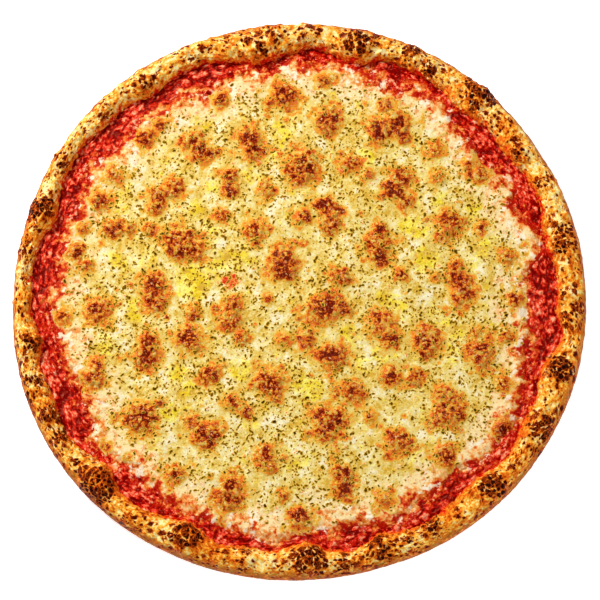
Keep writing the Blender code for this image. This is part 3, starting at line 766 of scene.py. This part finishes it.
def rim_masks(points, degrees, phi, blister):
    """Work out how the rim is coloured: toasted, spotted, burnt, low with painted shadow at its foot,
    and stained by sauce.
    """
    x, y, z = np.moveaxis(points, -1, 0)
    bubble = strongest(x, y, placed(RIM_BUBBLES), MOUND_REACH) / HIGHEST_BUBBLE
    turned = 0.05 * np.cos(np.radians(degrees - BROWNEST_DIRECTION))
    toast = 0.34 + 0.12 * bubble + turned + 0.6 * fractal(x, y, z, 11.0, 81) + 0.1 * blister
    spots = 0.68 + 0.3 * bubble + fractal(x, y, z, 11.0, 82)
    char = strongest(x, y, placed(RIM_CHARS), POOL_REACH)
    low = smooth((75.0 - phi) / 55.0)
    # Painted shadow where the rim meets the floor, and also a browner baked bottom edge
    foot = 0.5 * smooth((8.0 - phi) / 24.0)
    inside = smooth((phi - 105.0) / 75.0)
    masks = {
        "toast": toast * (1.0 - low) + 0.6 * low + 0.22 * inside,
        "spots": spots * smooth((phi + 25.0) / 45.0) * (1.0 - 0.3 * inside),
        "char": char * smooth((phi + 40.0) / 40.0),
        "low": low + foot,
        "stain": 0.8 * inside,
    }
    return {name: np.broadcast_to(values, x.shape) for name, values in masks.items()}


def with_foot(values):
    """Carry a mask of the roll on to its foot and to the two points in the middle."""
    return np.concatenate([values.ravel(), values[-1], np.full(2, values[0].mean())])


def build_crust():
    """Make the crust's dense mesh and its masks."""
    degrees = around(RIM_DIRECTIONS)[None, :]
    outer = np.linspace(-90.0, 88.0, RIM_OUTER_ROWS)
    inner = np.linspace(92.0, 180.0, RIM_INNER_ROWS)
    phi = np.concatenate([outer, inner])[:, None]
    flat = roll_points(degrees, phi)
    first, _, number = grains(*np.moveaxis(flat, -1, 0), 4.4, 74)
    blister = dome(first, 0.3 + 0.3 * number)
    masks = rim_masks(flat, degrees, phi, blister)
    skin = crackled(puffed(flat, degrees, phi), degrees, phi, masks["char"], blister)
    foot = ring_points(degrees, radius_at(INNER_EDGE, degrees) - RIM_FOOT_RUN, BASE_TOP)
    middle = [[0.0, 0.0, 0.0], [0.0, 0.0, BASE_TOP]]
    points = np.concatenate([skin.reshape(-1, 3), foot.reshape(-1, 3), middle])
    faces = closed_faces(len(phi) + 1, RIM_DIRECTIONS)
    masks = {name: with_foot(values) for name, values in masks.items()}
    rows = np.concatenate([phi, [[ROLL_FOOT_PHI]]])
    places = ring_points(degrees, CRUST_NOISE_RADIUS, np.radians(rows) * ROLL_NOISE_RADIUS)
    masks["drawn_out"] = np.concatenate([places.reshape(-1, 3), middle])
    mesh_piece("crust_dough", points, faces, crust_material(), "crust", masks)


# ---- sauce


def drawn_out(x, y):
    """Give places in which noise comes out drawn out along the rim, without a seam."""
    return ring_points(heading_of(x, y), SAUCE_NOISE_RADIUS, np.hypot(x, y))


def sauce_relief(x, y):
    """Give the sauce's lumps, about 1 high."""
    place = np.moveaxis(drawn_out(x, y), -1, 0)
    big, small = nuggets(*place, 3.8, 92), nuggets(*place, 1.9, 96)
    return 1.3 * big + 0.35 * small + 1.2 * fractal(x, y, 0.0, 8.0, 94)


def sauce_height(x, y):
    """Give the sauce's top: low under the cheese, lumpy between cheese and rim."""
    rise = smooth((1.8 - edge_inset(x, y)) / 2.0)
    left = radius_at(INNER_EDGE, heading_of(x, y)) + SAUCE_UNDER_RIM - np.hypot(x, y)
    fall = smooth(left / SAUCE_UNDER_RIM)
    return SAUCE_TOP + rise * (0.7 + fall * (0.5 + sauce_relief(x, y)))


def build_sauce():
    """Make the sauce: a lumpy wet ring, and the flat layer that runs under the cheese."""
    degrees = around(SAUCE_DIRECTIONS)
    rim = radius_at(INNER_EDGE, degrees)
    inner = cheese_radius(degrees) - SAUCE_UNDER_CHEESE
    share = np.linspace(1.0, 0.0, SAUCE_ROWS)[:, None]
    top = ring_points(degrees, inner + share * (rim + SAUCE_UNDER_RIM - inner), 0.0)
    top[..., 2] = sauce_height(top[..., 0], top[..., 1])
    lower = ring_points(degrees, rim - RIM_FOOT_RUN - 0.5, SAUCE_BOTTOM)
    upper = ring_points(degrees, rim - 0.3, RIM_INNER_Z - 0.6)
    middle = [[0.0, 0.0, SAUCE_BOTTOM], [0.0, 0.0, SAUCE_TOP]]
    points = np.concatenate([lower, upper, top.reshape(-1, 3), middle])
    faces = closed_faces(SAUCE_ROWS + 2, SAUCE_DIRECTIONS)
    x, y = points[:, 0], points[:, 1]
    # The lumps' height, for the painted shade and highlights in the sauce's colour
    lump_painted_light, inset = 0.1 + 0.6 * sauce_relief(x, y), edge_inset(x, y)
    masks = {"lump_painted_light": lump_painted_light, "inset": inset, "drawn_out": drawn_out(x, y)}
    mesh_piece("sauce_layer", points, faces, sauce_material(), "tomato_sauce", masks)


# ---- cheese


def browning(x, y, spots, least, reach):
    """Give how golden the cheese is, fading out with ragged edges round each spot."""
    level = 0.0
    coarse, fine = fractal(x, y, 0.0, 5.5, 101), fractal(x + y, x - y, 0.0, 3.4, 102)
    fray = 1.0 + 1.1 * coarse + 0.9 * fine
    for across, up, size, strength in spots:
        distance = np.hypot(x - across, y - up) * fray / size
        peak = least + (1.0 - least) * strength
        level = np.maximum(level, peak * np.clip(1.0 - distance / reach, 0.0, 1.0))
    return level


def all_browning(x, y):
    """Give how browned the cheese is by its blisters and its small marks."""
    blisters = browning(x, y, BLISTERS, 0.45, HALO_REACH)
    return np.maximum(blisters, browning(x, y, SMALL_BROWNINGS, 0.2, MARK_REACH))


def blistered(x, y):
    """Give where the cheese is a crumbling blister and not only browned, 0 to 1."""
    return smooth((all_browning(x, y) - 0.42) / 0.2)


def edge_inset(x, y):
    """Give how far inside the cheese's edge a place is."""
    return cheese_radius(heading_of(x, y)) - np.hypot(x, y)


def crumb_relief(x, y):
    """Give the relief of browned cheese, about 0 to 1: crumbs and winding ridges."""
    crumbs = nuggets(x, y, 0.0, 2.5, 106)
    winding = np.clip(1.0 - np.abs(fractal(x, y, 0.0, 3.0, 116, 2)) / 0.16, 0.0, 1.0)
    pits = fractal(x, y, 0.0, 4.2, 107, 2)
    return np.clip(0.08 + 0.5 * crumbs + 0.36 * winding + 0.6 * pits, 0.0, 1.0)


def toasted(x, y):
    """Give how dark the cheese is baked: soft halos and crumbs, with painted shade in the crevices
    between the crumbs and painted light on their tops.
    """
    level, relief = all_browning(x, y), np.minimum(crumb_relief(x, y), 0.6)
    halo = 0.44 * smooth((level - 0.04) / 0.43)
    core = 0.22 * smooth((level - 0.55) / 0.25)
    burnt = 0.6 * smooth((level - 1.0) / 0.25)
    # Painted shade and light: darker down in the crevices, lighter up on the crumbs
    return halo + core + burnt + 1.15 * blistered(x, y) * (0.35 - relief)


def cheese_height(x, y):
    """Give the cheese's top: ripples, mounds where it blistered and lumps along its edge."""
    height = CHEESE_TOP + CHEESE_RIPPLE * ripple(x, y, 34.0, seed=21)
    grain = BLISTER_ROUGHNESS * ripple(x, y, 4.5, seed=22)
    for across, up, size, _ in BLISTERS:
        bump = dome(np.hypot(x - across, y - up), size * MOUND_REACH)
        height = height + bump * (BLISTER_HEIGHT_SHARE * size + grain)
    lumpy = 0.9 * smooth(1.0 - edge_inset(x, y) / 12.0)
    height = height + crumb_relief(x, y) * np.maximum(1.5 * blistered(x, y), lumpy)
    return height + 0.45 * fractal(x, y, 0.0, 3.4, 103)


def lattice(step):
    """Give the points of a slightly shaken triangular lattice that the cheese fits in."""
    rise = TRIANGLE_HEIGHT * step
    columns, rows = int(CHEESE_REACH / step), int(CHEESE_REACH / rise)
    i, j = np.meshgrid(np.arange(-columns, columns + 1), np.arange(-rows, rows + 1))
    x, y = step * (i + 0.5 * (j % 2)), rise * j
    shake = np.random.default_rng(7).uniform(-0.12, 0.12, (2, *x.shape)) * step
    return (x + shake[0]).ravel(), (y + shake[1]).ravel()


def cheese_plan():
    """Give the plan of the cheese's points: its edge, then its field, finest where browned."""
    degrees = around(EDGE_POINTS)
    edge = cheese_radius(degrees)
    parts = [ring_points(degrees, edge - inset, 0.0)[:, :2] for inset in (0.45, 1.0)]
    for rank, step in enumerate(CHEESE_STEPS):
        x, y = lattice(step)
        inset = edge_inset(x, y)
        needed = np.where(all_browning(x, y) > 0.4, 2, np.where(inset < 10.0, 1, 0))
        chosen = (inset > 1.5) & (needed == rank)
        parts.append(np.stack([x[chosen], y[chosen]], axis=-1))
    return np.concatenate(parts)


def cheese_surface():
    """Triangulate the cheese's top and give its points in space and its triangles."""
    plan = [Vector(place) for place in cheese_plan().tolist()]
    loop = [(i, (i + 1) % EDGE_POINTS) for i in range(EDGE_POINTS)]
    places, _, triangles, *_ = delaunay_2d_cdt(plan, loop, [], 1, 1e-7)
    x, y = np.array([tuple(place) for place in places]).T
    shelf = CHEESE_EDGE_TOP + 1.2 * (fractal(x, y, 0.0, 2.6, 108) + 0.2)
    melt = smooth(edge_inset(x, y) / 5.0)
    z = shelf + (cheese_height(x, y) - shelf) * melt
    return np.stack([x, y, z], axis=-1), triangles


def build_cheese():
    """Make the cheese's dense mesh and its masks."""
    top, triangles = cheese_surface()
    count = EDGE_POINTS
    degrees = around(count)
    edge = cheese_radius(degrees)
    foot = ring_points(degrees, edge, CHEESE_BOTTOM)
    brow = ring_points(degrees, edge - 0.05, CHEESE_BOTTOM + 0.6)
    points = np.concatenate([top, foot, brow, [[0.0, 0.0, CHEESE_BOTTOM]]])
    i = np.arange(count)
    j = (i + 1) % count
    low, high = len(top), len(top) + count
    faces = [list(face) for face in triangles]
    faces += (low + ring_faces(2, count)).tolist()
    faces += np.stack([high + i, high + j, j, i], axis=-1).tolist()
    faces += fan_faces(low, count, low + 2 * count, True).tolist()
    masks = cheese_masks(points[:, 0], points[:, 1])
    mesh_piece("cheese_melt", points, faces, cheese_material(), "cheese", masks)


def cheese_masks(x, y):
    """Work out where the cheese is browned (with painted shade and light on its crumbs), crumbling,
    oily and stained by sauce.
    """
    plain = 1.0 - smooth((all_browning(x, y) - 0.1) / 0.3)
    return {
        "brown": toasted(x, y),
        "core": blistered(x, y),
        # the crumbs' relief, which places the painted highlights
        "crumb": crumb_relief(x, y),
        "oil": strongest(x, y, OIL_POOLS, POOL_REACH) * plain,
        "inset": edge_inset(x, y),
        "red": strongest(x, y, SAUCE_SPOTS, POOL_REACH),
    }


# ---- herbs


def large_flake_places():
    """Choose the large flakes' places and lengths by the same rule as the solids."""
    rng = np.random.default_rng(31)
    places = []
    while len(places) < FLAKE_COUNT:
        radius = FLAKE_FIELD * math.sqrt(rng.uniform()) ** 1.15
        angle = rng.uniform(0.0, math.tau)
        x, y = radius * math.cos(angle), radius * math.sin(angle)
        browned = any(math.hypot(x - u, y - v) < 1.3 * size + 1.5 for u, v, size, _ in BLISTERS)
        crowded = any(math.hypot(x - u, y - v) < FLAKE_SPACING for u, v in places)
        if not browned and not crowded:
            places.append((x, y))
    return np.array(places), np.linspace(*FLAKE_LENGTHS, FLAKE_COUNT)


def small_flake_places():
    """Scatter the small flakes: thick in the middle, thin outwards and on blisters."""
    rng = np.random.default_rng(33)
    places = np.zeros((0, 2))
    while len(places) < SMALL_FLAKE_COUNT:
        radius = SMALL_FLAKE_FIELD * np.sqrt(rng.uniform(size=FLAKE_DRAWS)) ** 1.05
        angle = rng.uniform(0.0, math.tau, FLAKE_DRAWS)
        x, y = radius * np.cos(angle), radius * np.sin(angle)
        clump = smooth((fractal(x, y, 0.0, 13.0, 111) + 0.25) / 0.45)
        bare = 0.92 * smooth((all_browning(x, y) - 0.34) / 0.26)
        inner = smooth((edge_inset(x, y) - 2.0) / 14.0)
        odds = (0.3 + 0.7 * clump) * (1.0 - bare) * inner
        kept = rng.uniform(size=FLAKE_DRAWS) < odds
        places = np.concatenate([places, np.stack([x, y], axis=-1)[kept]])
    low, high = SMALL_FLAKE_LENGTHS
    lengths = low + (high - low) * rng.uniform(size=SMALL_FLAKE_COUNT) ** 2.3
    return places[:SMALL_FLAKE_COUNT], lengths


def flake_points(rng, places, lengths):
    """Give each flake's points: its stained skirt, its uneven top edge and a peak."""
    count, length = len(places), lengths[:, None]
    across, up = places[:, :1], places[:, 1:]
    turn = rng.uniform(0.0, math.tau, (count, 1))
    slim = rng.uniform(0.25, 0.6, (count, 1))
    corner = np.radians(around(FLAKE_SIDES))
    cos, sin = np.cos(corner), np.sin(corner)
    reach = 0.5 * length * rng.uniform(0.55, 1.2, (count, FLAKE_SIDES))
    u = reach * cos
    v = reach * slim * sin + rng.uniform(-0.35, 0.35, (count, 1)) * u * u / length
    rings = []
    for skirt, share in ((FLAKE_SKIRT, 1.0), (0.0, 0.85)):
        wide_u, wide_v = share * u + skirt * cos, share * v + skirt * sin
        x = across + wide_u * np.cos(turn) - wide_v * np.sin(turn)
        y = up + wide_u * np.sin(turn) + wide_v * np.cos(turn)
        rings.append(np.stack([x, y, cheese_height(x, y)], axis=-1))
    low, high = rings
    low[..., 2] -= 0.12
    thick = 0.08 + 0.07 * length
    high[..., 2] += thick + rng.uniform(-0.04, 0.15, (count, FLAKE_SIDES))
    top = cheese_height(across, up) + 1.1 * thick + 0.05
    peak = np.concatenate([places, top], axis=1)[:, None, :]
    return np.concatenate([low, high, peak], axis=1).reshape(-1, 3)


def flake_faces(count):
    """Give the faces of all the flakes: walls, tops and floors."""
    base = np.arange(count)[:, None, None] * FLAKE_POINTS
    walls = base + ring_faces(2, FLAKE_SIDES)
    tops = base + fan_faces(FLAKE_SIDES, FLAKE_SIDES, 2 * FLAKE_SIDES, False)
    floors = base[:, :, 0] + np.arange(FLAKE_SIDES)[::-1]
    return walls.reshape(-1, 4).tolist() + tops.reshape(-1, 3).tolist() + floors.tolist()


def build_flakes():
    """Make all the herb flakes as one mesh of thin irregular chips with stained skirts."""
    large, small = large_flake_places(), small_flake_places()
    places, lengths = (np.concatenate(both) for both in zip(large, small))
    rng = np.random.default_rng(34)
    count = len(places)
    points, faces = flake_points(rng, places, lengths), flake_faces(count)
    shade = np.repeat(rng.uniform(size=count), FLAKE_POINTS)
    stain = np.tile([1.0] * FLAKE_SIDES + [0.0] * (FLAKE_SIDES + 1), count)
    masks = {"shade": shade, "stain": stain}
    mesh_piece("herb_flakes", points, faces, herb_material(), "cheese", masks, replaced=False)


# ---- stage


def add_softbox(name, power, size, place):
    """Add a round soft light that points at the pizza."""
    data = bpy.data.lights.new(name, "AREA")
    data.shape = "DISK"
    data.size = size
    data.energy = power
    lamp = added(name, data)
    lamp.location = place
    lamp.rotation_euler = (-Vector(place)).to_track_quat("-Z", "Y").to_euler()


def build_sky():
    """Make the surroundings: white at the horizon and dimmer overhead."""
    world = bpy.data.worlds.new("studio")
    world.use_nodes = True
    tree = world.node_tree
    place = add_node(tree, "TexCoord", {}).outputs["Generated"]
    height = add_node(tree, "SeparateXYZ", {"Vector": place}).outputs["Z"]
    light = add_node(tree, "MapRange", {"Value": height, **SKY}, interpolation_type="SMOOTHSTEP")
    feed(tree.nodes["Background"], {"Color": WHITE, "Strength": light.outputs["Result"]})
    bpy.context.scene.world = world


def build_stage():
    """Add the white floor, the soft lights and the surroundings."""
    bpy.ops.mesh.primitive_plane_add(size=FLOOR_SIZE, location=(0.0, 0.0, FLOOR_HEIGHT))
    floor = bpy.context.object
    floor.name = "floor"
    s = Shader("white_floor", 0.9, 0.0)
    floor.data.materials.append(s.finish(display(*FLOOR_COLOUR), **FLOOR_GLOW))
    build_sky()
    for softbox in SOFTBOXES:
        add_softbox(*softbox)
    bpy.context.scene.view_settings.view_transform = "Standard"


def build_camera():
    """Place the camera as the photograph's."""
    azimuth, elevation = math.radians(CAMERA_AZIMUTH), math.radians(CAMERA_ELEVATION)
    level = math.cos(elevation)
    back = Vector((math.sin(azimuth) * level, -math.cos(azimuth) * level, math.sin(elevation)))
    right = Vector((0.0, 1.0, 0.0)).cross(back).normalized()
    up = back.cross(right)
    turn = Matrix((right, up, back)).transposed().to_4x4()
    data = bpy.data.cameras.new("camera")
    data.lens = CAMERA_LENS
    data.sensor_width = CAMERA_SENSOR
    data.clip_start = CAMERA_NEAREST
    camera = added("camera", data)
    camera.matrix_world = Matrix.Translation(CAMERA_AIM + back * CAMERA_DISTANCE) @ turn
    bpy.context.scene.camera = camera


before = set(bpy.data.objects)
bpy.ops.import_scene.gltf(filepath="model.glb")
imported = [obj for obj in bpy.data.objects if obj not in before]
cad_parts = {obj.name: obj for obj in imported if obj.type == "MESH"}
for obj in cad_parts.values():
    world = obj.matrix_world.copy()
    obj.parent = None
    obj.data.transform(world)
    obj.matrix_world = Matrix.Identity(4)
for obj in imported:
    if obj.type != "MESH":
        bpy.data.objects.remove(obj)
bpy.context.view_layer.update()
build_crust()
build_sauce()
build_cheese()
build_flakes()
build_stage()
build_camera()
